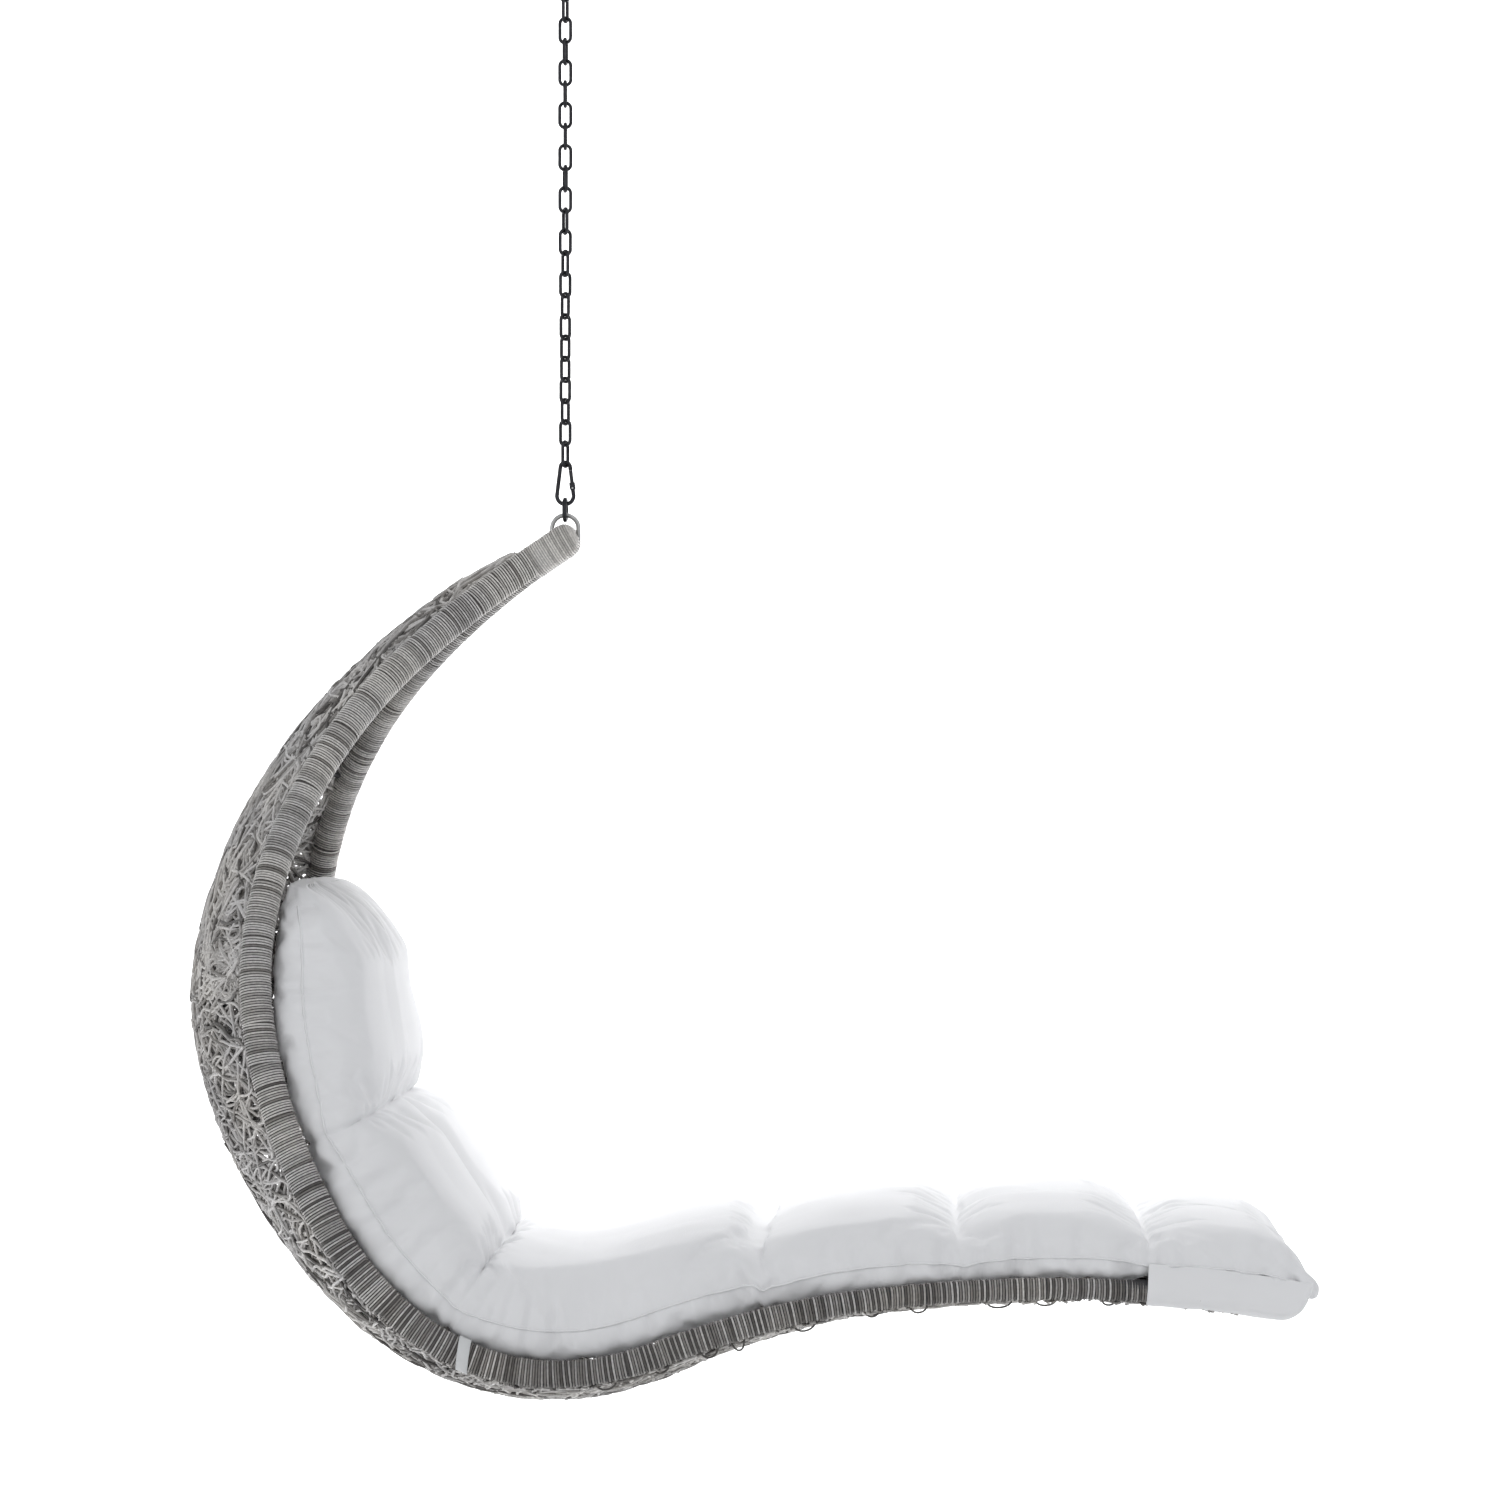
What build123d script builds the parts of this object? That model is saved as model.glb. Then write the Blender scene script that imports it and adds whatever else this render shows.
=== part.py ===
"""Hanging chaise lounge: a wicker-wrapped steel frame with a woven bowl back and a long channelled
cushion, hung from one ceiling swivel by a chain with a snap hook at each end.

Millimetres. The origin is the centre of the ceiling plate's top face, +Z is up, +X is the way the
sitter faces, and +Y is the sitter's left. The hang line is the Z axis.
"""

from build123d import *
import math
import os

os.makedirs("parts", exist_ok=True)

# ---- ceiling fitting ----
PLATE_R = 55.0
PLATE_T = 6.0
SCREW_PCD = 84.0
SCREW_HOLE_R = 3.5
HOUSING_R = 22.0
HOUSING_BOTTOM = -38.0
HOUSING_FLOOR = 8.0
CAVITY_R = 16.0
SHAFT_R = 6.0
RUNNING_FIT = 0.05
WASHER_T = 3.0
NUT_T = 9.0
NUT_R = 12.0
EYE_WIRE_R = 4.0
EYE_R = 13.0
EYE_CENTRE_Z = -57.0

# ---- suspension ----
HANG_GAP = 0.3  # play between two wires that hang in one another
LINK_COUNT = 24
LINK_WIRE_R = 2.5
LINK_CROWN_R = 8.0
LINK_PITCH = 30.5
LINK_TWIST = 4.0  # extra turn from one link to the next, degrees
LAST_LINK_ANGLE = 68.0  # plane of the lowest link, degrees from +X
HOOK_WIRE_R = 3.0
HOOK_LENGTH = 60.0  # between the wire centres of its two crowns
HOOK_TOP_R = 7.0
HOOK_BOTTOM_R = 12.0
HOOK_NOSE_DROP = 11.0
GATE_PIN_DROP = 37.0
GATE_R = 2.8
GATE_GAP = 0.4
TONGUE_T = 4.0
FORK_T = 9.0
FORK_R = 4.0
GATE_PIN_R = 1.25
SPRING_R = 1.15
SPRING_WIRE_R = 0.25
SPRING_LENGTH = 11.0
RING_R = 14.7
RING_WIRE_R = 3.3

# ---- frame: the right rail's control points, as (x, half width, drop below the bail's wire) ----
RAIL_ROUTE = [
    (-4, 20, 40),
    (-122, 35, 115),
    (-315, 150, 310),
    (-415, 275, 570),
    (-380, 335, 830),
    (-225, 370, 1105),
    (15, 360, 1210),
    (310, 335, 1100),
    (585, 305, 1070),
    (870, 280, 1075),
    (1010, 265, 1100),
]
TUBE_R = 13.5
TUBE_WALL = 1.8
WRAP_RADII = [(0.0, 22.5), (0.45, 22.5), (0.80, 15.5), (1.1, 15.5)]
WRAP_START = 55.0  # length of bare tube hidden in the apex wrap
WRAP_END = 32.0  # length of bare tube at the foot bar
FOOT_BAR_R = 12.5
BAIL_WIRE_R = 3.25
BAIL_ARCH_R = 19.0
BAIL_FOOT_DROP = 36.0
APEX_R = 24.5
APEX_WIDTH = 90.0
APEX_REACH = 24.0  # beyond the rails' first point
APEX_TAIL = 52.0  # down the rails from their first point
SPINE_R = 5.0
RIB_R = 4.0
SPINE_PLAY = 0.5

# ---- woven bowl: (fraction of the rail's length, depth behind the rail's centre) ----
BACK_DEPTHS = [
    (0.05, 50), (0.075, 52), (0.10, 54), (0.13, 58), (0.20, 82), (0.27, 110), (0.33, 140),
    (0.39, 140), (0.45, 124), (0.52, 102), (0.59, 80),
]
SEAT_DEPTHS = [(0.592, 79), (0.635, 68), (0.68, 58), (0.73, 50)]
LEG_DEPTHS = [(0.732, 50), (0.79, 44), (0.85, 34), (0.90, 22), (0.93, 16), (0.975, 15)]
BACK_WEAVE_T = 7.0
SEAT_WEAVE_T = 5.0
LEG_WEAVE_T = 4.0
WEAVE_GAP = 5.0
RIB_PLAY = 5.0

# ---- soft parts ----
CUSHION_LIFT = 6.0  # above the wrapped rail
CUSHION_INSET = 3.0
CUSHION_WALL = 5.0
# each channel: (start, end, thickness at its seams, thickness at its middle), by rail fraction
CHANNELS = [
    (0.265, 0.413, 70, 106),
    (0.413, 0.541, 76, 106),
    (0.541, 0.721, 76, 100),
    (0.721, 0.827, 50, 72),
    (0.827, 0.925, 46, 68),
    (0.925, 1.012, 44, 58),
]
POCKET_CUTS = (0.925, 0.945, 0.965, 0.985, 1.0)
POCKET_WALL = 2.5
POCKET_GAP = 2.0
TIE_AT = 0.557
TIE_WIDTH = 18.0
TIE_T = 1.5


def save(shape, name):
    """Write one node's solid or solids."""
    export_step(shape, f"parts/{name}.step")


def turned(shape, angle, z):
    """Turn a shape about Z by an angle in degrees, then set it at a height."""
    return Pos(0, 0, z) * Rot(0, 0, angle) * shape


def swept(path, outer_r, inner_r=0.0):
    """A round bar or tube along a path."""
    section = Circle(outer_r)
    if inner_r:
        section = section - Circle(inner_r)
    return sweep(Plane(origin=path @ 0, z_dir=path % 0) * section, path=path)


# ---------------------------------------------------------------- ceiling fitting
def ceiling_plate():
    plate = Pos(0, 0, -PLATE_T / 2) * Cylinder(PLATE_R, PLATE_T)
    plate = chamfer(plate.edges().group_by(Axis.Z)[0], 1.5)
    holes = PolarLocations(SCREW_PCD / 2, 4, start_angle=45)
    return plate - holes * Cylinder(SCREW_HOLE_R, 4 * PLATE_T)


def swivel_housing():
    height = -PLATE_T - HOUSING_BOTTOM
    body = Pos(0, 0, HOUSING_BOTTOM + height / 2) * Cylinder(HOUSING_R, height)
    body = fillet(body.edges().group_by(Axis.Z)[0], 3)
    depth = height - HOUSING_FLOOR
    body -= Pos(0, 0, -PLATE_T - depth / 2) * Cylinder(CAVITY_R, depth)
    return body - Pos(0, 0, HOUSING_BOTTOM) * Cylinder(SHAFT_R + RUNNING_FIT, 40)


FLOOR_Z = HOUSING_BOTTOM + HOUSING_FLOOR
WASHER_TOP = FLOOR_Z + WASHER_T
NUT_BOTTOM = WASHER_TOP + RUNNING_FIT


def thrust_washer():
    ring = Cylinder(CAVITY_R - 1, WASHER_T) - Cylinder(SHAFT_R + 0.3, WASHER_T)
    return Pos(0, 0, FLOOR_Z + WASHER_T / 2) * ring


def swivel_eye_bolt():
    top = NUT_BOTTOM + NUT_T + 1
    bottom = EYE_CENTRE_Z + EYE_R
    shaft = Pos(0, 0, (top + bottom) / 2) * Cylinder(SHAFT_R, top - bottom)
    eye = Pos(0, 0, EYE_CENTRE_Z) * Rot(90, 0, 0) * Torus(EYE_R, EYE_WIRE_R)
    return shaft + eye


def swivel_nut():
    nut = extrude(RegularPolygon(NUT_R, 6), NUT_T) - Cylinder(SHAFT_R, 4 * NUT_T)
    return Pos(0, 0, NUT_BOTTOM) * nut


# ---------------------------------------------------------------- chain and hooks
LINK_HALF = (LINK_PITCH + 2 * LINK_WIRE_R + HANG_GAP) / 2  # to a crown's wire centre
EYE_BOTTOM_Z = EYE_CENTRE_Z - EYE_R
HOOK1_TOP_Z = EYE_BOTTOM_Z + EYE_WIRE_R + HOOK_WIRE_R + HANG_GAP
HOOK1_BOTTOM_Z = HOOK1_TOP_Z - HOOK_LENGTH
LINK1_Z = HOOK1_BOTTOM_Z + HOOK_WIRE_R + LINK_WIRE_R + HANG_GAP - LINK_HALF
LINK_LAST_Z = LINK1_Z - (LINK_COUNT - 1) * LINK_PITCH
HOOK2_TOP_Z = LINK_LAST_Z - LINK_HALF + LINK_WIRE_R + HOOK_WIRE_R + HANG_GAP
HOOK2_BOTTOM_Z = HOOK2_TOP_Z - HOOK_LENGTH
RING_Z = HOOK2_BOTTOM_Z + HOOK_WIRE_R + RING_WIRE_R + HANG_GAP - RING_R
HANG_Z = RING_Z - RING_R + RING_WIRE_R + BAIL_WIRE_R + HANG_GAP


def link_angle(number):
    """Plane of a link, counted from the top, in degrees from +X."""
    return LAST_LINK_ANGLE - (LINK_COUNT - number) * (90 + LINK_TWIST)


def chain_link():
    """One link, standing in the XZ plane about the origin."""
    straight = LINK_HALF - LINK_CROWN_R
    crown = Rot(90, 0, 0) * Torus(LINK_CROWN_R, LINK_WIRE_R)
    upper_half = Pos(0, 0, LINK_HALF) * Box(60, 60, 2 * LINK_HALF)
    crown_top = Pos(0, 0, straight) * (crown & upper_half)
    crown_bottom = Pos(0, 0, -straight) * (crown - upper_half)
    leg = Cylinder(LINK_WIRE_R, 2 * straight)
    legs = Pos(LINK_CROWN_R, 0, 0) * leg + Pos(-LINK_CROWN_R, 0, 0) * leg
    return crown_top + legs + crown_bottom


HOOK_LEAN = math.asin((HOOK_BOTTOM_R - HOOK_TOP_R) / (HOOK_LENGTH - HOOK_TOP_R - HOOK_BOTTOM_R))


def hook_side(side, drop):
    """Point on the hook's straight side, +1 for the gate's side, at a drop below the top crown."""
    top_x = HOOK_TOP_R * math.cos(HOOK_LEAN)
    top_drop = HOOK_TOP_R * (1 - math.sin(HOOK_LEAN))
    return (side * (top_x + (drop - top_drop) * math.tan(HOOK_LEAN)), 0, -drop)


def snap_hook():
    """Pear-shaped hook in the XZ plane, its top crown's wire centre at the origin."""
    top_drop = HOOK_TOP_R * (1 - math.sin(HOOK_LEAN))
    low_drop = HOOK_LENGTH - HOOK_BOTTOM_R * (1 + math.sin(HOOK_LEAN))
    neck_drop = GATE_PIN_DROP + FORK_R + 1
    nose = Line(hook_side(1, HOOK_NOSE_DROP), hook_side(1, top_drop))
    crown = ThreePointArc(hook_side(1, top_drop), (0, 0, 0), hook_side(-1, top_drop))
    back = Line(hook_side(-1, top_drop), hook_side(-1, low_drop))
    bowl = ThreePointArc(hook_side(-1, low_drop), (0, 0, -HOOK_LENGTH), hook_side(1, low_drop))
    neck = Line(hook_side(1, low_drop), hook_side(1, neck_drop))
    wire = swept(Wire([nose, crown, back, bowl, neck]), HOOK_WIRE_R)
    tongue = Box(2 * GATE_R, TONGUE_T, FORK_R + 2)
    tongue = Pos(0, 0, -(FORK_R + 2) / 2) * tongue + Rot(90, 0, 0) * Cylinder(GATE_R, TONGUE_T)
    tongue -= Rot(90, 0, 0) * Cylinder(GATE_PIN_R + RUNNING_FIT, 2 * TONGUE_T)
    return wire + at_gate_pin(tongue)


def at_gate_pin(shape):
    """Move a shape drawn about the gate's pin, +Z along the gate, to its place on the hook."""
    return Pos(*hook_side(1, GATE_PIN_DROP)) * Rot(0, -math.degrees(HOOK_LEAN), 0) * shape


def gate_length():
    """From the gate's pin to its tip, just short of the hook's nose."""
    return (GATE_PIN_DROP - HOOK_NOSE_DROP) / math.cos(HOOK_LEAN) - GATE_GAP


def hook_gate():
    reach = gate_length()
    bar = Pos(0, 0, reach / 2 + 2) * Cylinder(GATE_R, reach - 4)
    fork = Rot(90, 0, 0) * Cylinder(FORK_R, FORK_T)
    fork += Pos(0, 0, FORK_R) * Box(2 * FORK_R, FORK_T, 2 * FORK_R)
    fork = fork + bar
    slot = Box(4 * FORK_R, TONGUE_T + 0.4, 2 * FORK_R)
    fork -= slot
    fork -= Rot(90, 0, 0) * Cylinder(GATE_PIN_R, 2 * FORK_T)
    fork -= Pos(0, 0, FORK_R + SPRING_LENGTH / 2) * Cylinder(SPRING_R + 0.4, SPRING_LENGTH + 1)
    return at_gate_pin(fork)


def gate_pin():
    return at_gate_pin(Rot(90, 0, 0) * Cylinder(GATE_PIN_R, FORK_T + 0.6))


def gate_spring():
    path = Helix(pitch=1.1, height=SPRING_LENGTH - 2, radius=SPRING_R)
    coil = sweep(Plane(origin=path @ 0, z_dir=path % 0) * Circle(SPRING_WIRE_R), path=path, is_frenet=True)
    return at_gate_pin(Pos(0, 0, FORK_R + 0.6) * coil)


def save_hook(prefix, angle, top_z):
    pieces = {"hook": snap_hook(), "gate": hook_gate(), "gate_pin": gate_pin(), "gate_spring": gate_spring()}
    for name, piece in pieces.items():
        save(turned(piece, angle, top_z), f"{prefix}_{name}")


def hanger_ring():
    return Pos(0, 0, RING_Z) * Rot(0, 90, 0) * Torus(RING_R, RING_WIRE_R)


# ---------------------------------------------------------------- steel frame
def route(side):
    """The rail's control points in the row frame: side is -1 for the right rail, +1 for the left."""
    return [Vector(x, side * half, HANG_Z - drop) for x, half, drop in RAIL_ROUTE]


def between(a, b, share):
    return a + (b - a) * share


def corner_radius(before, corner, after):
    """The largest tangent arc that leaves a tenth of the shorter run straight."""
    turn = math.radians((corner - before).get_angle(after - corner))
    return 0.45 * min((corner - before).length, (after - corner).length) / math.tan(turn / 2)


def rail_spans(side, skip_start=0.0, skip_end=0.0):
    """The rail as spans, each one tangent arc between two half runs."""
    points = route(side)
    corners = list(zip(points, points[1:], points[2:]))
    spans = []
    for number, (before, corner, after) in enumerate(corners):
        start = between(before, corner, 0.5)
        end = between(corner, after, 0.5)
        if number == 0:
            start = between(before, corner, skip_start / (corner - before).length)
        if number == len(corners) - 1:
            end = between(after, corner, skip_end / (after - corner).length)
        radius = corner_radius(before, corner, after)
        spans.append(FilletPolyline(start, corner, end, radius=radius))
    return spans


def fused(pieces):
    return pieces[0].fuse(*pieces[1:])


SOLID_RAILS = {side: fused([swept(span, TUBE_R) for span in rail_spans(side)]) for side in (-1, 1)}


def rail_tube(side):
    return fused([swept(span, TUBE_R, TUBE_R - TUBE_WALL) for span in rail_spans(side)])


def rail_line():
    """The right rail's whole centre line."""
    points = route(-1)
    radii = [corner_radius(*three) for three in zip(points, points[1:], points[2:])]
    return FilletPolyline(*points, radius=radii)


RAIL = rail_line()


def read_table(table, fraction):
    """Read a table of (fraction of the rail, value) between its rows."""
    for (f0, v0), (f1, v1) in zip(table, table[1:]):
        if f0 <= fraction <= f1:
            return v0 + (v1 - v0) * (fraction - f0) / (f1 - f0)
    raise ValueError(f"{fraction} is outside the table")


def wrap_radius(fraction):
    return read_table(WRAP_RADII, fraction)


def rail_wrap(side, ribs):
    spans = rail_spans(side, WRAP_START, WRAP_END)
    pieces = []
    for number, span in enumerate(spans):
        radius = wrap_radius((number + 0.5) / len(spans))
        pieces.append(swept(span, radius, TUBE_R))
    return fused(pieces).cut(*ribs)


class Station:
    """A cut across the frame: half width, and a plane whose y points outwards, behind the rails.

    Past the rail's end, at a fraction over 1, it runs straight on.
    """

    def __init__(self, fraction):
        inside = min(fraction, 1.0)
        point, along = RAIL @ inside, RAIL % inside
        along = Vector(along.X, 0, along.Z).normalized()
        point += along * ((fraction - inside) * RAIL.length)
        self.half = -point.Y
        self.wrap_r = wrap_radius(fraction)
        self.plane = Plane(origin=(point.X, 0, point.Z), x_dir=(0, -1, 0), z_dir=along)

    def at(self, across, outwards):
        """The row-frame point at a place across the frame and a distance behind the rails."""
        return self.plane.from_local_coords(Vector(across, outwards, 0))


def foot_bar():
    end = route(-1)[-1]
    length = 2 * (-end.Y - TUBE_R - 0.1)
    bar = Cylinder(FOOT_BAR_R, length) - Cylinder(FOOT_BAR_R - TUBE_WALL, length)
    return Pos(end.X, 0, end.Z) * Rot(90, 0, 0) * bar


def hanger_bail():
    foot_z, spring_z = HANG_Z - BAIL_FOOT_DROP, HANG_Z - BAIL_ARCH_R
    left = Line((-BAIL_ARCH_R, 0, foot_z), (-BAIL_ARCH_R, 0, spring_z))
    arch = ThreePointArc((-BAIL_ARCH_R, 0, spring_z), (0, 0, HANG_Z), (BAIL_ARCH_R, 0, spring_z))
    right = Line((BAIL_ARCH_R, 0, spring_z), (BAIL_ARCH_R, 0, foot_z))
    return swept(Wire([left, arch, right]), BAIL_WIRE_R)


def apex_plane():
    """At the rails' first point, z up along the tip and x along +Y."""
    first, second = route(-1)[:2]
    along = Vector(first.X - second.X, 0, first.Z - second.Z).normalized()
    return Plane(origin=(first.X, 0, first.Z), x_dir=(0, 1, 0), z_dir=along)


def apex_block():
    gap = 2 * (RAIL_ROUTE[0][1] - TUBE_R) - 0.4
    block = apex_plane() * Pos(0, 0, -8) * Box(gap, 30, 44)
    return block - hanger_bail()


def apex_wrap():
    length = APEX_REACH + APEX_TAIL
    barrel = extrude(SlotOverall(APEX_WIDTH, 2 * APEX_R), length)
    barrel = fillet(barrel.edges().group_by(Axis.Z)[-1], 0.8 * APEX_R)
    barrel = apex_plane() * Pos(0, 0, -APEX_TAIL) * barrel
    return barrel - SOLID_RAILS[-1] - SOLID_RAILS[1] - hanger_bail() - apex_block()


# ---------------------------------------------------------------- ribs and weave
def weave_edge(station, inwards):
    """Where the weave ends beside the rail, moved inwards by some of its thickness."""
    reach = station.wrap_r + WEAVE_GAP
    return station.half - 0.5 * reach - 0.64 * inwards, 0.86 * reach - 0.77 * inwards


def weave_section(fraction, depth, thickness):
    station = Station(fraction)
    out_y, out_n = weave_edge(station, 0)
    in_y, in_n = weave_edge(station, thickness)
    outer = ThreePointArc((-out_y, out_n), (0, depth), (out_y, out_n))
    inner = ThreePointArc((in_y, in_n), (0, depth - thickness), (-in_y, in_n))
    ends = [Line((out_y, out_n), (in_y, in_n)), Line((-in_y, in_n), (-out_y, out_n))]
    return station.plane * make_face([outer, ends[0], inner, ends[1]])


def weave(depths, thickness):
    return loft([weave_section(fraction, depth, thickness) for fraction, depth in depths])


def rib(fraction, thickness, behind=0.0):
    """A bent rod welded from rail to rail, just inside the weave, or inside a rod that is."""
    station = Station(fraction)
    middle = read_table(BACK_DEPTHS + SEAT_DEPTHS + LEG_DEPTHS, fraction) - thickness - RIB_PLAY - behind - RIB_R
    arc = ThreePointArc(station.at(-station.half, 0), station.at(0, middle), station.at(station.half, 0))
    return swept(arc, RIB_R) - SOLID_RAILS[-1] - SOLID_RAILS[1]


def back_spine(ribs):
    """The rod down the middle of the bowl, notched where the ribs cross it."""
    inset = BACK_WEAVE_T + RIB_PLAY + SPINE_R
    points = [Station(f).at(0, depth - inset) for f, depth in BACK_DEPTHS[1:]]
    radii = [corner_radius(*three) for three in zip(points, points[1:], points[2:])]
    return swept(FilletPolyline(*points, radius=radii), SPINE_R).cut(*ribs)


# ---------------------------------------------------------------- soft parts
def slab_section(fraction, thickness, inset):
    """A rectangle across the frame, on the sitter's side of the rails."""
    station = Station(fraction)
    base = -(station.wrap_r + CUSHION_LIFT)
    half = station.half - CUSHION_INSET - inset
    middle = base - thickness / 2
    return station.plane * Pos(0, middle) * Rectangle(2 * half, thickness - 2 * inset)


def channel(start, end, seam_t, middle_t, inset=0.0):
    """One stuffed channel of the cushion, or with an inset, the hollow inside it."""
    margin = 0.004 if inset else 0.0
    stations = [start + margin, start + 0.25 * (end - start), (start + end) / 2]
    stations += [end - 0.25 * (end - start), end - margin]
    thick = [seam_t, 0.93 * middle_t, middle_t, 0.93 * middle_t, seam_t]
    return loft([slab_section(f, t, inset) for f, t in zip(stations, thick)], ruled=True)


def cushion():
    whole = fused([channel(*numbers) for numbers in CHANNELS])
    for numbers in CHANNELS:
        whole -= channel(*numbers, inset=CUSHION_WALL)
    return whole


def pocket_section(fraction, shrink):
    station = Station(fraction)
    reach = station.wrap_r + POCKET_GAP + POCKET_WALL - shrink
    half = station.half + reach
    return station.plane * Rectangle(2 * half, 2 * reach)


def foot_pocket():
    toe = 1 + (FOOT_BAR_R + POCKET_GAP) / RAIL.length
    end = toe + POCKET_WALL / RAIL.length
    outer = loft([pocket_section(f, 0) for f in (*POCKET_CUTS, end)], ruled=True)
    cuts = (POCKET_CUTS[0] - 0.002, *POCKET_CUTS[1:], toe)
    inner = loft([pocket_section(f, POCKET_WALL) for f in cuts], ruled=True)
    return outer - inner


def tie_strap(side):
    station = Station(TIE_AT)
    inner = station.wrap_r + 1.2
    point, along = RAIL @ TIE_AT, RAIL % TIE_AT
    band = Cylinder(inner + TIE_T, TIE_WIDTH) - Cylinder(inner, TIE_WIDTH)
    right = Plane(origin=point, z_dir=along) * band
    return right if side < 0 else mirror(right, about=Plane.XZ)


# ---------------------------------------------------------------- build every node
def build():
    save(ceiling_plate(), "ceiling_plate")
    save(swivel_housing(), "swivel_housing")
    save(thrust_washer(), "thrust_washer")
    first = link_angle(1)
    save(turned(swivel_eye_bolt(), first, 0), "swivel_eye_bolt")
    save(turned(swivel_nut(), first, 0), "swivel_nut")
    save_hook("upper", first + 90, HOOK1_TOP_Z)
    one_link = chain_link()
    for number in range(1, LINK_COUNT + 1):
        z = LINK1_Z - (number - 1) * LINK_PITCH
        save(turned(one_link, link_angle(number), z), f"chain_link_{number:02d}")
    save_hook("lower", 0, HOOK2_TOP_Z)
    save(hanger_ring(), "hanger_ring")

    save(hanger_bail(), "hanger_bail")
    save(apex_block(), "apex_block")
    save(apex_wrap(), "apex_wrap")
    ribs = {
        "upper_back_rib": rib(0.20, BACK_WEAVE_T, 2 * SPINE_R + SPINE_PLAY),
        "middle_back_rib": rib(0.33, BACK_WEAVE_T, 2 * SPINE_R + SPINE_PLAY),
        "lower_back_rib": rib(0.45, BACK_WEAVE_T, 2 * SPINE_R + SPINE_PLAY),
        "seat_rib": rib(0.635, SEAT_WEAVE_T),
        "thigh_rib": rib(0.79, LEG_WEAVE_T),
        "calf_rib": rib(0.85, LEG_WEAVE_T),
    }
    for name, piece in ribs.items():
        save(piece, name)
    save(back_spine(ribs.values()), "back_spine")
    for side, name in ((-1, "right"), (1, "left")):
        save(rail_tube(side), f"{name}_rail")
        save(rail_wrap(side, ribs.values()), f"{name}_rail_wrap")
        save(tie_strap(side), f"{name}_tie_strap")
    save(foot_bar(), "foot_bar")
    save(weave(BACK_DEPTHS, BACK_WEAVE_T).cut(*ribs.values()), "back_weave")
    save(weave(SEAT_DEPTHS, SEAT_WEAVE_T), "seat_weave")
    save(weave(LEG_DEPTHS, LEG_WEAVE_T), "leg_weave")
    save(cushion(), "cushion")
    save(foot_pocket(), "foot_pocket")


build()
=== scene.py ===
"""Looks of the hanging chaise lounge: wound rails, a nest of woven vines, a stuffed channelled
cushion with its foot pocket, and the finishes of the chain and fittings.

Metres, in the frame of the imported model: +Z up, +X the way the sitter faces, right side at -Y.
"""

import logging
import math
import random
from dataclasses import dataclass, field
from enum import Enum

import bpy
import numpy as np
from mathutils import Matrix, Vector


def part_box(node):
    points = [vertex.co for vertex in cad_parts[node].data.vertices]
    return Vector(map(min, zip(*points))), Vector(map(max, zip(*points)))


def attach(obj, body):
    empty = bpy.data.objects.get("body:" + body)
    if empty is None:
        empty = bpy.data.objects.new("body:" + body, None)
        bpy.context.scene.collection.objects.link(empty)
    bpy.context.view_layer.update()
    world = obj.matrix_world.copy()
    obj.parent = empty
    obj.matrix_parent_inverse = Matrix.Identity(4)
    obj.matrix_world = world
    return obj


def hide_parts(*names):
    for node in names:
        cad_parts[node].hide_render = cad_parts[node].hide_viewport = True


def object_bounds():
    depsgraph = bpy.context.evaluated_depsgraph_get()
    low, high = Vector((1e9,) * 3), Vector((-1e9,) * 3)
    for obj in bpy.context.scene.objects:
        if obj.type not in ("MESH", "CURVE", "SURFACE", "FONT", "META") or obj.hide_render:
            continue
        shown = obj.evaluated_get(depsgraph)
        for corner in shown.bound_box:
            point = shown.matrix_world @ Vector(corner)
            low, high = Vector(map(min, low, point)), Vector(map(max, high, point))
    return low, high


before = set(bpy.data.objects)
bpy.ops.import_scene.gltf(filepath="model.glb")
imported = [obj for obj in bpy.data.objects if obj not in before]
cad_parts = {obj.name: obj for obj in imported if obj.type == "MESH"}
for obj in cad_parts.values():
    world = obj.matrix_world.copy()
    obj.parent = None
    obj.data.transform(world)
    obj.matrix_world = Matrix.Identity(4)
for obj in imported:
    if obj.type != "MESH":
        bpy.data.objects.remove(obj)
CAD_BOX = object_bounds()
LOG = logging.getLogger("hanging_chaise")
MM = 0.001

# The right rail's control points, as (x, half width, drop below the bail's wire), in millimetres.
RAIL_ROUTE = [
    (-4, 20, 40), (-122, 35, 115), (-315, 150, 310), (-415, 275, 570), (-380, 335, 830),
    (-225, 370, 1105), (15, 360, 1210), (310, 335, 1100), (585, 305, 1070), (870, 280, 1075),
    (1010, 265, 1100),
]
BAIL_WIRE_R = 3.25 * MM
# Depth of the woven bowl behind the rails, in millimetres, by fraction of the rail.
BOWL_DEPTH = [
    (0.0, 22), (0.03, 29), (0.06, 44), (0.13, 58), (0.20, 82), (0.27, 110), (0.33, 138), (0.39, 138),
    (0.45, 122), (0.52, 100), (0.59, 78), (0.68, 58), (0.79, 44), (0.85, 34), (0.90, 22), (0.93, 16),
    (0.98, 14),
]
# Outside radius of a wound rail, in millimetres, by fraction of the rail.
WRAP_RADIUS = [(0.0, 22.5), (0.45, 22.5), (0.80, 15.5), (1.0, 15.5)]


def read_table(table: list, fraction: float) -> float:
    """Read a (fraction, millimetres) table.

    Args:
        table: pairs in rising order of fraction.
        fraction: where to read it.

    Returns:
        The value there, in metres.
    """
    places, values = zip(*table)
    return float(np.interp(fraction, places, values)) * MM


# ------------------------------------------------------------------ finishes
class Tone(Enum):
    """The four shades of vine that the weaver mixes."""

    LIGHT = 0
    MIDDLE = 1
    BROWN = 2
    DARK = 3


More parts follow.
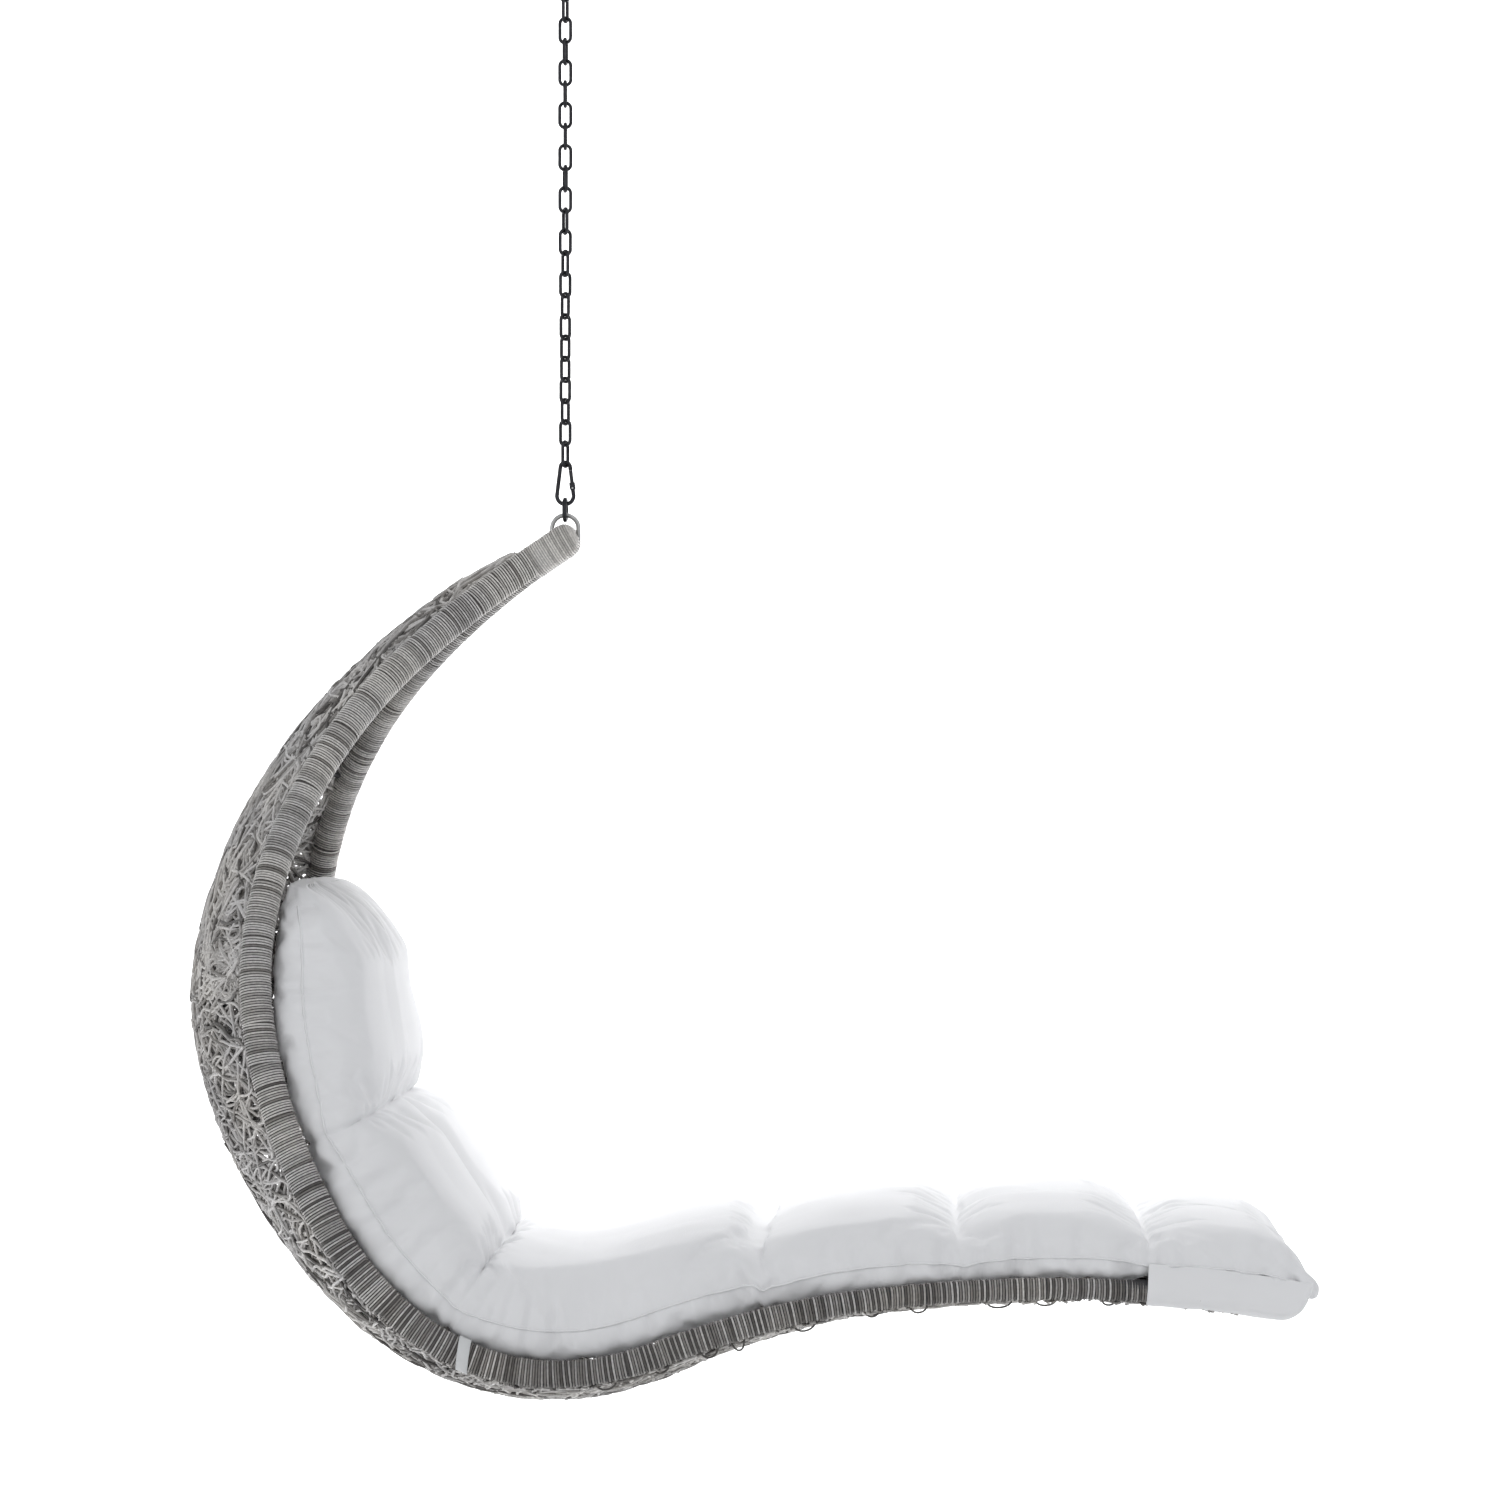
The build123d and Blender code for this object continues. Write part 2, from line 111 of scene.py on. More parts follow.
@dataclass(frozen=True)
class VineFinish:
    """Round woven plastic vine, finely streaked."""

    tone: Tone
    colour: tuple
    roughness: float = 0.52

    def material(self) -> bpy.types.Material:
        """Build the finish as a node material.

        Returns:
            The material.
        """
        mat, nodes, links, shader = new_material(f"vine_{self.tone.name.lower()}")
        where = nodes.new("ShaderNodeTexCoord")
        streak = noise(nodes, links, where, scale=230.0, detail=3.0)
        patch = noise(nodes, links, where, scale=9.0, detail=2.0)
        dull, bright = shade(self.colour, 0.84), shade(self.colour, 1.10)
        ramp = colour_ramp(nodes, links, streak, dull, bright, 0.36, 0.66)
        fade = colour_ramp(nodes, links, patch, (0.86, 0.86, 0.87, 1), (1.0, 0.99, 0.97, 1), 0.4, 0.62)
        mix = nodes.new("ShaderNodeMixRGB")
        mix.blend_type = "MULTIPLY"
        mix.inputs["Fac"].default_value = 1.0
        links.new(ramp.outputs["Color"], mix.inputs["Color1"])
        links.new(fade.outputs["Color"], mix.inputs["Color2"])
        links.new(mix.outputs["Color"], shader.inputs["Base Color"])
        shader.inputs["Roughness"].default_value = self.roughness
        add_bump(nodes, links, shader, streak, strength=0.18, distance=0.0003)
        return mat


@dataclass(frozen=True)
class ClothFinish:
    """Plain woven polyester: fine over-and-under threads and a soft sheen."""

    name: str
    colour: tuple
    threads: float = 1100.0
    roughness: float = 0.86
    bump: float = 0.25

    def material(self) -> bpy.types.Material:
        """Build the finish as a node material.

        Returns:
            The material.
        """
        mat, nodes, links, shader = new_material(self.name)
        where = nodes.new("ShaderNodeTexCoord")
        waves = []
        for direction in ("X", "Z"):
            wave = nodes.new("ShaderNodeTexWave")
            wave.wave_type = "BANDS"
            wave.bands_direction = direction
            wave.inputs["Scale"].default_value = self.threads
            wave.inputs["Distortion"].default_value = 1.5
            wave.inputs["Detail"].default_value = 1.0
            links.new(where.outputs["Object"], wave.inputs["Vector"])
            waves.append(wave)
        weave = nodes.new("ShaderNodeMath")
        weave.operation = "MULTIPLY"
        links.new(waves[0].outputs["Fac"], weave.inputs[0])
        links.new(waves[1].outputs["Fac"], weave.inputs[1])
        soil = noise(nodes, links, where, scale=6.0, detail=4.0)
        ramp = colour_ramp(nodes, links, soil, shade(self.colour, 0.97), shade(self.colour, 1.0), 0.35, 0.7)
        links.new(ramp.outputs["Color"], shader.inputs["Base Color"])
        shader.inputs["Roughness"].default_value = self.roughness
        shader.inputs["Sheen Weight"].default_value = 0.25
        shader.inputs["Sheen Roughness"].default_value = 0.45
        add_bump(nodes, links, shader, weave, strength=self.bump, distance=0.0002)
        return mat


@dataclass(frozen=True)
class MetalFinish:
    """Metal with a slightly uneven surface: bare, blackened or painted."""

    name: str
    colour: tuple
    metallic: float
    roughness: float
    unevenness: float = 0.12
    grain: float = 420.0

    def material(self) -> bpy.types.Material:
        """Build the finish as a node material.

        Returns:
            The material.
        """
        mat, nodes, links, shader = new_material(self.name)
        where = nodes.new("ShaderNodeTexCoord")
        fine = noise(nodes, links, where, scale=self.grain, detail=4.0)
        broad = noise(nodes, links, where, scale=70.0, detail=3.0)
        dull, bright = shade(self.colour, 0.75), shade(self.colour, 1.25)
        ramp = colour_ramp(nodes, links, broad, dull, bright, 0.35, 0.68)
        links.new(ramp.outputs["Color"], shader.inputs["Base Color"])
        rough = nodes.new("ShaderNodeMapRange")
        rough.inputs["To Min"].default_value = self.roughness - self.unevenness
        rough.inputs["To Max"].default_value = self.roughness + self.unevenness
        links.new(fine.outputs["Fac"], rough.inputs["Value"])
        links.new(rough.outputs["Result"], shader.inputs["Roughness"])
        shader.inputs["Metallic"].default_value = self.metallic
        add_bump(nodes, links, shader, fine, strength=0.18, distance=0.0002)
        return mat


VINES = {
    Tone.LIGHT: VineFinish(Tone.LIGHT, (0.72, 0.70, 0.68)),
    Tone.MIDDLE: VineFinish(Tone.MIDDLE, (0.50, 0.482, 0.465)),
    Tone.BROWN: VineFinish(Tone.BROWN, (0.27, 0.255, 0.24)),
    Tone.DARK: VineFinish(Tone.DARK, (0.12, 0.112, 0.105)),
}
CUSHION_CLOTH = ClothFinish("cushion_cloth", (0.86, 0.86, 0.868))
WEBBING = ClothFinish("tie_webbing", (0.72, 0.73, 0.73), threads=420.0, bump=0.6)
DARK_STEEL = MetalFinish("dark_steel", (0.045, 0.045, 0.05), 0.85, 0.42)
PLAIN_STEEL = MetalFinish("plain_steel", (0.52, 0.52, 0.51), 0.9, 0.40)
BRASS = MetalFinish("bearing_brass", (0.62, 0.45, 0.18), 1.0, 0.32)
BLACK_FRAME = MetalFinish("black_powder_coat", (0.022, 0.022, 0.024), 0.0, 0.5, grain=900.0)


def new_material(name: str) -> tuple:
    """Start a node material.

    Args:
        name: the finish's name.

    Returns:
        The material, its nodes, its links and its Principled shader.
    """
    mat = bpy.data.materials.new(name)
    mat.use_nodes = True
    nodes, links = mat.node_tree.nodes, mat.node_tree.links
    return mat, nodes, links, nodes["Principled BSDF"]


def shade(colour: tuple, factor: float) -> tuple:
    """Scale a colour and add its alpha."""
    return tuple(min(1.0, c * factor) for c in colour[:3]) + (1.0,)


def noise(nodes: bpy.types.Nodes, links: bpy.types.NodeLinks, where: bpy.types.Node,
          scale: float, detail: float) -> bpy.types.Node:
    """Add a noise texture on object coordinates.

    Args:
        nodes: the material's nodes.
        links: the material's links.
        where: the coordinates node.
        scale: the grain's scale.
        detail: the grain's detail.

    Returns:
        The texture node.
    """
    node = nodes.new("ShaderNodeTexNoise")
    node.inputs["Scale"].default_value = scale
    node.inputs["Detail"].default_value = detail
    links.new(where.outputs["Object"], node.inputs["Vector"])
    return node


def colour_ramp(nodes: bpy.types.Nodes, links: bpy.types.NodeLinks, source: bpy.types.Node,
                low: tuple, high: tuple, start: float, end: float) -> bpy.types.Node:
    """Add a two-colour ramp driven by a texture's factor.

    Args:
        nodes: the material's nodes.
        links: the material's links.
        source: the texture.
        low: colour at the low end.
        high: colour at the high end.
        start: factor where the low colour ends.
        end: factor where the high colour starts.

    Returns:
        The ramp node.
    """
    node = nodes.new("ShaderNodeValToRGB")
    node.color_ramp.elements[0].color = low
    node.color_ramp.elements[1].color = high
    node.color_ramp.elements[0].position = start
    node.color_ramp.elements[1].position = end
    links.new(source.outputs["Fac"], node.inputs["Fac"])
    return node


def add_bump(nodes: bpy.types.Nodes, links: bpy.types.NodeLinks, shader: bpy.types.Node,
             source: bpy.types.Node, strength: float, distance: float) -> None:
    """Give a shader small relief from a texture or a math node.

    Args:
        nodes: the material's nodes.
        links: the material's links.
        shader: the shader.
        source: the node whose first output is the height.
        strength: how strong it shows.
        distance: its height, in metres.
    """
    bump = nodes.new("ShaderNodeBump")
    bump.inputs["Strength"].default_value = strength
    bump.inputs["Distance"].default_value = distance
    links.new(source.outputs[0], bump.inputs["Height"])
    links.new(bump.outputs["Normal"], shader.inputs["Normal"])


# ------------------------------------------------------------------ the frame's lines
@dataclass
class Section:
    """A cut across the frame at one fraction of the rail."""

    centre: np.ndarray
    half: float
    along: np.ndarray
    outward: np.ndarray
    wrap_r: float

    def place(self, across: float, out: float) -> np.ndarray:
        """Point at a distance across the frame (+Y) and a distance behind the rails."""
        return self.centre + np.array([0.0, across, 0.0]) + self.outward * out


class RailLine:
    """The right rail's smooth centre line, read by fraction of its length."""

    STEPS = 80

    def __init__(self, route: list, hang_z: float) -> None:
        """Lay the line from its control points.

        Args:
            route: (x, half width, drop) of each control point, in millimetres.
            hang_z: height of the bail's wire centre, in metres.
        """
        corners = [np.array([x * MM, -half * MM, hang_z - drop * MM]) for x, half, drop in route]
        points = []
        for number in range(1, len(corners) - 1):
            before, corner, after = corners[number - 1:number + 2]
            start = before if number == 1 else (before + corner) / 2
            end = after if number == len(corners) - 2 else (corner + after) / 2
            for t in np.linspace(0, 1, self.STEPS, endpoint=False):
                points.append((1 - t) ** 2 * start + 2 * t * (1 - t) * corner + t * t * end)
        points.append(corners[-1])
        self.points = np.array(points)
        steps = np.linalg.norm(np.diff(self.points, axis=0), axis=1)
        self.reach = np.concatenate([[0.0], np.cumsum(steps)])
        self.length = float(self.reach[-1])

    def point(self, fraction: float) -> np.ndarray:
        """Point at a fraction of the length; past the end the line runs straight on.

        Args:
            fraction: where on the rail.

        Returns:
            The point, in metres.
        """
        inside = min(max(fraction, 0.0), 1.0)
        here = np.array([np.interp(inside * self.length, self.reach, self.points[:, i]) for i in range(3)])
        if fraction != inside:
            here = here + self.heading(inside) * (fraction - inside) * self.length
        return here

    def heading(self, fraction: float) -> np.ndarray:
        """Unit direction of travel at a fraction of the length."""
        inside = min(max(fraction, 0.002), 0.998)
        step = self.point(inside + 0.002) - self.point(inside - 0.002)
        return step / np.linalg.norm(step)

    def spokes(self, fraction: float) -> tuple:
        """Heading at a fraction, and two unit spokes square to it.

        Args:
            fraction: where on the rail.

        Returns:
            The heading, the spoke that points outwards and the one sideways.
        """
        heading, outward = self.heading(fraction), self.section(fraction).outward
        first = outward - heading * float(outward @ heading)
        first /= np.linalg.norm(first)
        return heading, first, np.cross(heading, first)

    def section(self, fraction: float) -> Section:
        """Cut the frame across at a fraction of the rail.

        Args:
            fraction: where on the rail.

        Returns:
            The cut.
        """
        point, heading = self.point(fraction), self.heading(fraction)
        along = np.array([heading[0], 0.0, heading[2]])
        along /= np.linalg.norm(along)
        outward = np.array([along[2], 0.0, -along[0]])
        centre = np.array([point[0], 0.0, point[2]])
        return Section(centre, -point[1], along, outward, read_table(WRAP_RADIUS, fraction))


HANG_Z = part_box("hanger_bail")[1][2] - BAIL_WIRE_R
RAIL = RailLine(RAIL_ROUTE, HANG_Z)


# ------------------------------------------------------------------ strands and lofts
@dataclass
class Strand:
    """One length of vine: its centre line, thickness and shade."""

    points: np.ndarray
    radius: float
    tone: Tone
    closed: bool = False
    smooth: bool = True


def select_only(obj: bpy.types.Object) -> None:
    """Leave one object selected and active."""
    bpy.ops.object.select_all(action="DESELECT")
    obj.select_set(True)
    bpy.context.view_layer.objects.active = obj


def strands_piece(name: str, strands: list, finishes: dict, sides: int = 6,
                  steps: int = 2) -> bpy.types.Object:
    """Make one mesh piece out of many strands.

    Args:
        name: the piece's name.
        strands: the Strand list.
        finishes: material of each tone.
        sides: sides to a strand, an even number from 4 up.
        steps: steps between two control points of a smooth strand.

    Returns:
        The mesh object, at the origin.
    """
    curve = bpy.data.curves.new(name, "CURVE")
    curve.dimensions = "3D"
    curve.bevel_depth = MM
    curve.bevel_resolution = (sides - 4) // 2
    curve.use_fill_caps = True
    curve.resolution_u = steps
    for tone in Tone:
        curve.materials.append(finishes[tone])
    for strand in strands:
        spline = curve.splines.new("NURBS" if strand.smooth else "POLY")
        count = len(strand.points)
        spline.points.add(count - 1)
        spline.points.foreach_set("co", np.c_[strand.points, np.ones(count)].ravel())
        spline.points.foreach_set("radius", np.full(count, strand.radius / MM))
        spline.material_index = strand.tone.value
        spline.use_cyclic_u = strand.closed
        if strand.smooth:
            spline.order_u = 3
            spline.use_endpoint_u = True
    obj = bpy.data.objects.new(name, curve)
    bpy.context.collection.objects.link(obj)
    select_only(obj)
    bpy.ops.object.convert(target="MESH")
    return bpy.context.view_layer.objects.active


def loft_piece(name: str, rings: np.ndarray, material: bpy.types.Material, closed: bool = True,
               caps: bool = True) -> bpy.types.Object:
    """Skin a row of equal rings of points with quads.

    Args:
        name: the piece's name.
        rings: array of rings, points in a ring, and three coordinates.
        material: the piece's material.
        closed: whether each ring closes on itself.
        caps: whether the first and last rings are filled.

    Returns:
        The mesh object, faces outwards.
    """
    count, around = rings.shape[:2]
    faces = []
    for row in range(count - 1):
        for col in range(around if closed else around - 1):
            here, beside = row * around + col, row * around + (col + 1) % around
            faces.append((here, beside, beside + around, here + around))
    if caps:
        faces.append(tuple(reversed(range(around))))
        faces.append(tuple((count - 1) * around + col for col in range(around)))
    mesh = bpy.data.meshes.new(name)
    mesh.from_pydata(rings.reshape(-1, 3).tolist(), [], faces)
    mesh.materials.append(material)
    obj = bpy.data.objects.new(name, mesh)
    bpy.context.collection.objects.link(obj)
    select_only(obj)
    bpy.ops.object.mode_set(mode="EDIT")
    bpy.ops.mesh.select_all(action="SELECT")
    bpy.ops.mesh.normals_make_consistent(inside=False)
    bpy.ops.object.mode_set(mode="OBJECT")
    bpy.ops.object.shade_smooth()
    return obj


def apply_modifier(obj: bpy.types.Object, kind: str, **settings: object) -> None:
    """Add a modifier with its settings and apply it.

    Args:
        obj: the mesh object.
        kind: the modifier's type.
        settings: its settings.
    """
    select_only(obj)
    modifier = obj.modifiers.new(kind.lower(), kind)
    for key, value in settings.items():
        setattr(modifier, key, value)
    bpy.ops.object.modifier_apply(modifier=modifier.name)


def mirrored(strands: list) -> list:
    """The same strands on the other side of the frame."""
    flip = np.array([1.0, -1.0, 1.0])
    return [Strand(s.points * flip, s.radius, s.tone, s.closed, s.smooth) for s in strands]


# ------------------------------------------------------------------ wound rails
@dataclass
class RailWinding:
    """Vine wound turn by turn round a rail, in groups with thin gaps between them; a dark core paints shade
    in the gaps.
    """

    vine_r: float = 1.45 * MM
    pitch: float = 3.7 * MM
    start: float = 0.0215
    end: float = 0.987
    points_a_turn: int = 20
    # The core is a dark tube under the turns whose colour is painted shade in the grooves and gaps.
    shade_core_inset: float = 2.9 * MM
    shade_core_lengths: int = 60
    group_mm: tuple = (34, 74)
    gap_mm: tuple = (0.2, 1.4)
    seed: int = 11

    def pick_tone(self, dice: random.Random, fraction: float, number: int) -> Tone:
        """Tone of the next turn: pale on the back; under the legs light and dark by turns, darkened by
        painted shade.

        Args:
            dice: the seeded random draws.
            fraction: where on the rail.
            number: how many turns are already wound.

        Returns:
            The shade.
        """
        # Past the back the mix darkens: partly the vine's own light and dark turns, partly painted shade
        # where less top light reaches the rails.
        share = min(1.0, max(0.0, (fraction - 0.36) / 0.22))
        if number % 2 and dice.random() < share:
            return dice.choices([Tone.BROWN, Tone.DARK], (0.55, 0.45))[0]
        shares = (0.62 - 0.35 * share, 0.32 + 0.2 * share, 0.06 + 0.15 * share)
        return dice.choices([Tone.LIGHT, Tone.MIDDLE, Tone.BROWN], shares)[0]

    def turn(self, fraction: float, radius: float, tilt: float, lean: float) -> np.ndarray:
        """Points of one turn, tilted a little about the rail.

        Args:
            fraction: where on the rail.
            radius: the turn's radius.
            tilt: how far it tilts, per radius.
            lean: the angle it tilts towards.

        Returns:
            The points of the ring.
        """
        centre = RAIL.point(fraction)
        heading, first, second = RAIL.spokes(fraction)
        angles = np.linspace(0, 2 * math.pi, self.points_a_turn, endpoint=False)[:, None]
        ring = centre + radius * (np.cos(angles) * first + np.sin(angles) * second)
        return ring + tilt * radius * np.cos(angles - lean) * heading

    def strands(self) -> list:
        """Every turn of the right rail, group by group."""
        dice = random.Random(self.seed)
        found = []
        travel, limit = self.start * RAIL.length, self.end * RAIL.length
        while travel < limit:
            group_end = travel + dice.uniform(*self.group_mm) * MM
            lift = dice.uniform(-0.35, 0.35) * MM
            tilt, lean = dice.uniform(-0.07, 0.07), dice.uniform(0, 6.28)
            while travel < min(group_end, limit):
                fraction = travel / RAIL.length
                radius = read_table(WRAP_RADIUS, fraction) - self.vine_r + lift
                radius += dice.uniform(-0.18, 0.18) * MM
                tone = self.pick_tone(dice, fraction, len(found))
                points = self.turn(fraction, radius, tilt + dice.uniform(-0.012, 0.012), lean)
                found.append(Strand(points, self.vine_r, tone, closed=True, smooth=False))
                travel += self.pitch * dice.uniform(0.96, 1.04)
            travel += dice.uniform(*self.gap_mm) * MM
        return found

    def core(self) -> list:
        """A dark tube under the turns, as overlapping plain lengths: painted shade seen in the grooves and
        gaps.
        """
        found = []
        places = np.linspace(self.start, self.end, self.shade_core_lengths)
        for first, last in zip(places, places[1:]):
            points = np.array([RAIL.point(f) for f in np.linspace(first, last, 3)])
            radius = read_table(WRAP_RADIUS, (first + last) / 2) - self.shade_core_inset
            found.append(Strand(points, radius, Tone.DARK, smooth=False))
        return found

    def build(self, finishes: dict) -> None:
        """Make both windings and stand them in for the plain wraps.

        Args:
            finishes: material of each tone and finish.
        """
        right = self.strands()
        for name, turns in (("right", right), ("left", mirrored(right))):
            piece = strands_piece(f"{name}_rail_winding", turns, finishes, sides=4)
            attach(piece, "lounger")
            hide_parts(f"{name}_rail_wrap")
            # The dark core puts painted shade into the grooves and gaps between the turns.
            core = self.core() if name == "right" else mirrored(self.core())
            under = strands_piece(f"{name}_under_winding", core, finishes, sides=12)
            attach(under, "lounger")
            LOG.info("%s winding: %d turns", name, len(turns))


# ------------------------------------------------------------------ the wound tip
@dataclass
class TipWinding:
    """The barrel that binds both rails at the top, with a rounded end."""

    straight: float = 20.5 * MM
    radius: float = 24.3 * MM
    tail: float = 52.0 * MM
    reach: float = 24.0 * MM
    nose_r: float = 19.6 * MM
    vine_r: float = 1.6 * MM
    pitch: float = 3.5 * MM
    seed: int = 5

    def inset(self, travel: float) -> float:
        """How far the barrel draws in at a distance past the rails' first point.

        Args:
            travel: that distance.

        Returns:
            The draw, in metres.
        """
        into = travel - (self.reach - self.nose_r)
        if into <= 0:
            return 0.0
        return self.nose_r - math.sqrt(max(0.0, self.nose_r ** 2 - into ** 2))

    def ring(self, travel: float, radius: float, tilt: float = 0.0) -> np.ndarray:
        """A stadium-shaped ring round both rails.

        Args:
            travel: distance past the rails' first point.
            radius: radius of its ends.
            tilt: how far it tilts, per radius.

        Returns:
            The points of the ring.
        """
        first, second = RAIL.point(0.0), RAIL.point(0.03)
        axis = np.array([first[0] - second[0], 0.0, first[2] - second[2]])
        axis /= np.linalg.norm(axis)
        up = np.array([-axis[2], 0.0, axis[0]])
        centre = np.array([first[0], 0.0, first[2]]) + axis * travel
        points = []
        for angle in np.linspace(0, 2 * math.pi, 28, endpoint=False):
            side = math.cos(angle)
            across = radius * side + self.straight * (1 if side > 0 else -1) * min(1.0, abs(side) * 3)
            points.append(centre + np.array([0.0, across, 0.0]) + up * radius * math.sin(angle)
                          + axis * tilt * radius * math.sin(angle))
        return np.array(points)

    def build(self, finishes: dict) -> None:
        """Wind the barrel and fill its core with a brown tube that paints shade between the turns.

        Args:
            finishes: material of each tone and finish.
        """
        dice = random.Random(self.seed)
        turns, travel = [], -self.tail
        while travel < self.reach - 0.4 * MM:
            radius = self.radius - self.vine_r - self.inset(travel) + dice.uniform(-0.3, 0.3) * MM
            tone = dice.choices([Tone.LIGHT, Tone.MIDDLE], (0.8, 0.2))[0]
            tilt = 0.10 * (travel + self.tail) / (self.tail + self.reach)
            turns.append(Strand(self.ring(travel, radius, tilt), self.vine_r, tone,
                                closed=True, smooth=False))
            slope = self.inset(travel + 0.5 * MM) - self.inset(travel)
            travel += self.pitch / math.hypot(1.0, slope / (0.5 * MM))
        for inner in (6.4, 3.6, 1.2):
            turns.append(Strand(self.ring(self.reach - 1.2 * MM, inner * MM), self.vine_r, Tone.MIDDLE,
                                closed=True, smooth=False))
        piece = strands_piece("tip_winding", turns, finishes, sides=6)
        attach(piece, "lounger")
        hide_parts("apex_wrap")
        # The brown core is painted shade seen in the grooves between the barrel's turns.
        places = np.linspace(-self.tail + 1 * MM, self.reach - 2.4 * MM, 24)
        rings = np.array([self.ring(t, self.radius - 3.2 * MM - self.inset(t)) for t in places])
        core = loft_piece("tip_under_winding", rings, finishes[Tone.BROWN])
        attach(core, "lounger")
        LOG.info("tip winding: %d turns", len(turns))


# ------------------------------------------------------------------ the nest of vines
@dataclass
class NestWeave:
    """Vines run over the bowl in long waves, hooks and crossings, layer over layer."""

    name: str
    node: str
    low: float
    high: float
    crossings: int
    hooks: int
    runners: int
    thickness: float
    seed: int
    vine_r: float = 2.1 * MM
    point_gap: float = 21.0 * MM
    kink: float = 9.0 * MM

    def place(self, fraction: float, across: float, lift: float) -> np.ndarray:
        """A point on the bowl: across runs from -1 at the right rail to +1 at the left.

        Args:
            fraction: where on the rail.
            across: where between the rails.
            lift: distance in from the outside.

        Returns:
            The point, in metres.
        """
        cut = RAIL.section(fraction)
        reach = cut.wrap_r + 3.0 * MM
        edge_y, edge_out = cut.half - 0.5 * reach, 0.86 * reach
        depth = max(read_table(BOWL_DEPTH, fraction) - 2.0 * MM, edge_out)
        bulge = 1.0 - min(1.0, across * across)
        out = edge_out + (depth - edge_out) * bulge - lift
        return cut.place(across * edge_y, out)

    def route(self, course: list, dice: random.Random) -> np.ndarray:
        """Turn a course of (fraction, across) places into points on the bowl, with small kinks.

        Args:
            course: the places.
            dice: the seeded random draws.

        Returns:
            The points.
        """
        base = dice.uniform(0.0, self.thickness)
        phase, beat = dice.uniform(0, 6.28), dice.uniform(0.8, 1.6)
        points = []
        for number, (fraction, across) in enumerate(course):
            kinked = fraction + dice.uniform(-1, 1) * self.kink / RAIL.length
            inside = self.low + abs(kinked - self.low)
            inside = self.high - abs(self.high - inside)
            half = RAIL.section(inside).half
            aside = across + dice.uniform(-1, 1) * self.kink / half * (1 - min(1.0, abs(across)) ** 4)
            weave = 3.0 * MM * math.sin(beat * number + phase)
            points.append(self.place(inside, aside, base + weave - 1.0 * MM))
        return np.array(points)

    def crossing(self, dice: random.Random) -> list:
        """A vine from one rail to the other, swaying as it goes.

        Args:
            dice: the seeded random draws.

        Returns:
            Its course.
        """
        start = dice.uniform(self.low - 0.03, self.high + 0.03)
        slant = dice.uniform(-0.11, 0.11)
        sway, turns, phase = dice.uniform(0.01, 0.04), dice.uniform(0.8, 2.2), dice.uniform(0, 6.28)
        width = RAIL.section(min(max(start, 0.0), 1.0)).half * 2
        steps = max(5, int(width * 1.2 / self.point_gap))
        course = []
        for number in range(steps + 1):
            t = number / steps
            along = start + slant * t + sway * math.sin(turns * 2 * math.pi * t + phase)
            course.append((along, -1.04 + 2.08 * t))
        return course

    def hook(self, dice: random.Random) -> list:
        """A vine that leaves a rail, turns round in the bowl and comes back to it.

        Args:
            dice: the seeded random draws.

        Returns:
            Its course.
        """
        side = dice.choice((-1, 1))
        start, span = dice.uniform(self.low, self.high), dice.uniform(0.05, 0.16) * dice.choice((-1, 1))
        reach, skew = dice.uniform(0.5, 1.7), dice.uniform(-0.03, 0.03)
        width = RAIL.section(start).half
        steps = max(7, int((width * reach * 2 + abs(span) * RAIL.length) * 0.9 / self.point_gap))
        course = []
        for number in range(steps + 1):
            t = number / steps
            course.append((start + span * t + skew * math.sin(2 * math.pi * t),
                           side * (1.04 - reach * math.sin(math.pi * t))))
        return course

    def runner(self, dice: random.Random) -> list:
        """A vine that runs lengthwise down the bowl.

        Args:
            dice: the seeded random draws.

        Returns:
            Its course.
        """
        start = dice.uniform(self.low - 0.05, self.high - 0.05)
        span = min(dice.uniform(0.12, 0.34), (self.high - self.low) * 0.9)
        middle, sway = dice.uniform(-0.85, 0.85), dice.uniform(0.1, 0.4)
        turns, phase = dice.uniform(0.5, 1.6), dice.uniform(0, 6.28)
        steps = max(6, int(span * RAIL.length / self.point_gap))
        course = []
        for number in range(steps + 1):
            t = number / steps
            across = middle + sway * math.sin(turns * 2 * math.pi * t + phase)
            course.append((start + span * t, min(1.02, max(-1.02, across))))
        return course

    def strands(self) -> list:
        """All vines of this weave."""
        dice = random.Random(self.seed)
        kinds = [self.crossing] * self.crossings + [self.hook] * self.hooks + [self.runner] * self.runners
        found = []
        for kind in kinds:
            points = self.route(kind(dice), dice)
            tone = dice.choices(list(Tone), (0.36, 0.32, 0.22, 0.10))[0]
            found.append(Strand(points, self.vine_r * dice.uniform(0.88, 1.1), tone))
        return found

    def build(self, finishes: dict) -> None:
        """Weave the piece and stand it in for the plain shell, if it names one.

        Args:
            finishes: material of each tone and finish.
        """
        strands = self.strands()
        piece = strands_piece(self.name, strands, finishes)
        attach(piece, "lounger")
        if self.node:
            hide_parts(self.node)
        LOG.info("%s: %d vines, %d faces", self.name, len(strands), len(piece.data.polygons))


NESTS = (
    NestWeave("upper_bowl_outer", "back_weave", 0.024, 0.33, 105, 120, 46, 4 * MM, seed=31),
    NestWeave("upper_bowl_inner", "", 0.024, 0.33, 60, 60, 30, 12 * MM, seed=47),
    NestWeave("lower_bowl_outer", "", 0.29, 0.60, 66, 105, 40, 4 * MM, seed=37),
    NestWeave("lower_bowl_inner", "", 0.29, 0.60, 50, 70, 26, 12 * MM, seed=43),
    NestWeave("seat_weave_vines", "seat_weave", 0.585, 0.74, 56, 44, 16, 5 * MM, seed=53),
    NestWeave("leg_weave_vines", "leg_weave", 0.725, 0.975, 90, 50, 22, 4 * MM, seed=67),
)


